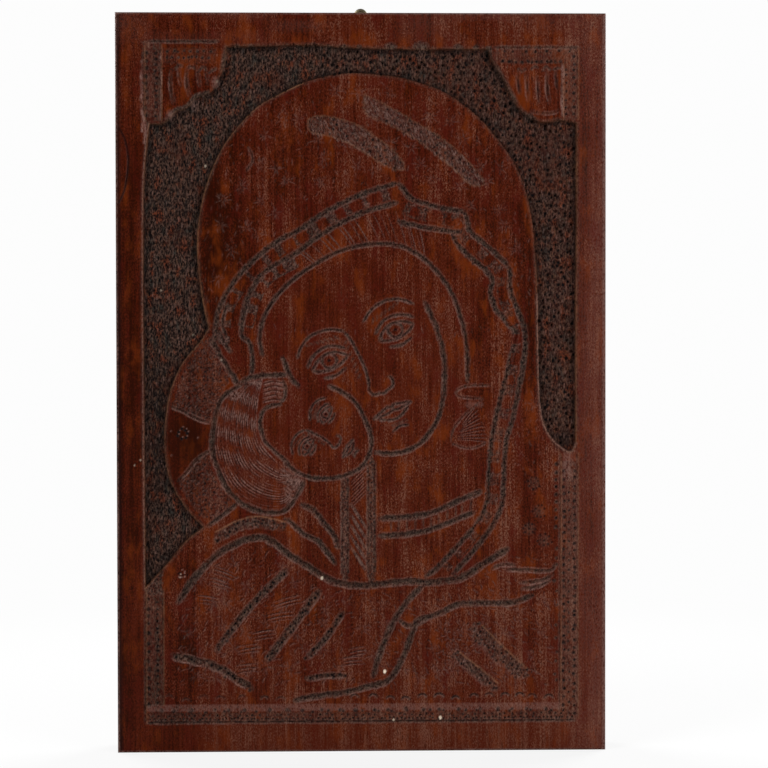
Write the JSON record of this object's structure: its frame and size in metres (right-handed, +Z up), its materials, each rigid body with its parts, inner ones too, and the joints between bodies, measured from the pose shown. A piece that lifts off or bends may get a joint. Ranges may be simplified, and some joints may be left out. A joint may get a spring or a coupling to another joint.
{
  "type": "carved wooden icon",
  "caption": "Upright wooden plank carved in low relief with a mother and child, with battens on the back and a swinging wire ring for hanging it on a wall.",
  "frame": {"origin": "middle of the plank's bottom edge, halfway through the plank's thickness", "axes": "+X to the viewer's right, +Y from the carved front to the back, +Z up along the grain"},
  "size_m": [0.21, 0.025, 0.3226],
  "materials": {
    "stained_wood": "dark red-brown stain with a thin wax, dusty in the punched grooves and worn paler on the arrises",
    "batten_wood": "plain planed wood with a thin brown stain",
    "strap_metal": "dull aged sheet",
    "wire_metal": "dull olive-grey wire",
    "screw_metal": "dull aged turned metal"
  },
  "bodies": {
    "board": {"carved_panel": "stained_wood", "upper_batten": "batten_wood", "lower_batten": "batten_wood", "hanger_strap": "strap_metal", "hanger_screw_upper": "screw_metal", "hanger_screw_lower": "screw_metal"},
    "ring": {"hanger_ring": "wire_metal"}
  },
  "joints": [
    {"name": "ring_swing", "type": "hinge", "parent": "board", "child": "ring", "pos_m": [0, 0.01215, 0.3046], "axis": [-1, 0, 0], "range_deg": [0, 174]}
  ]
}
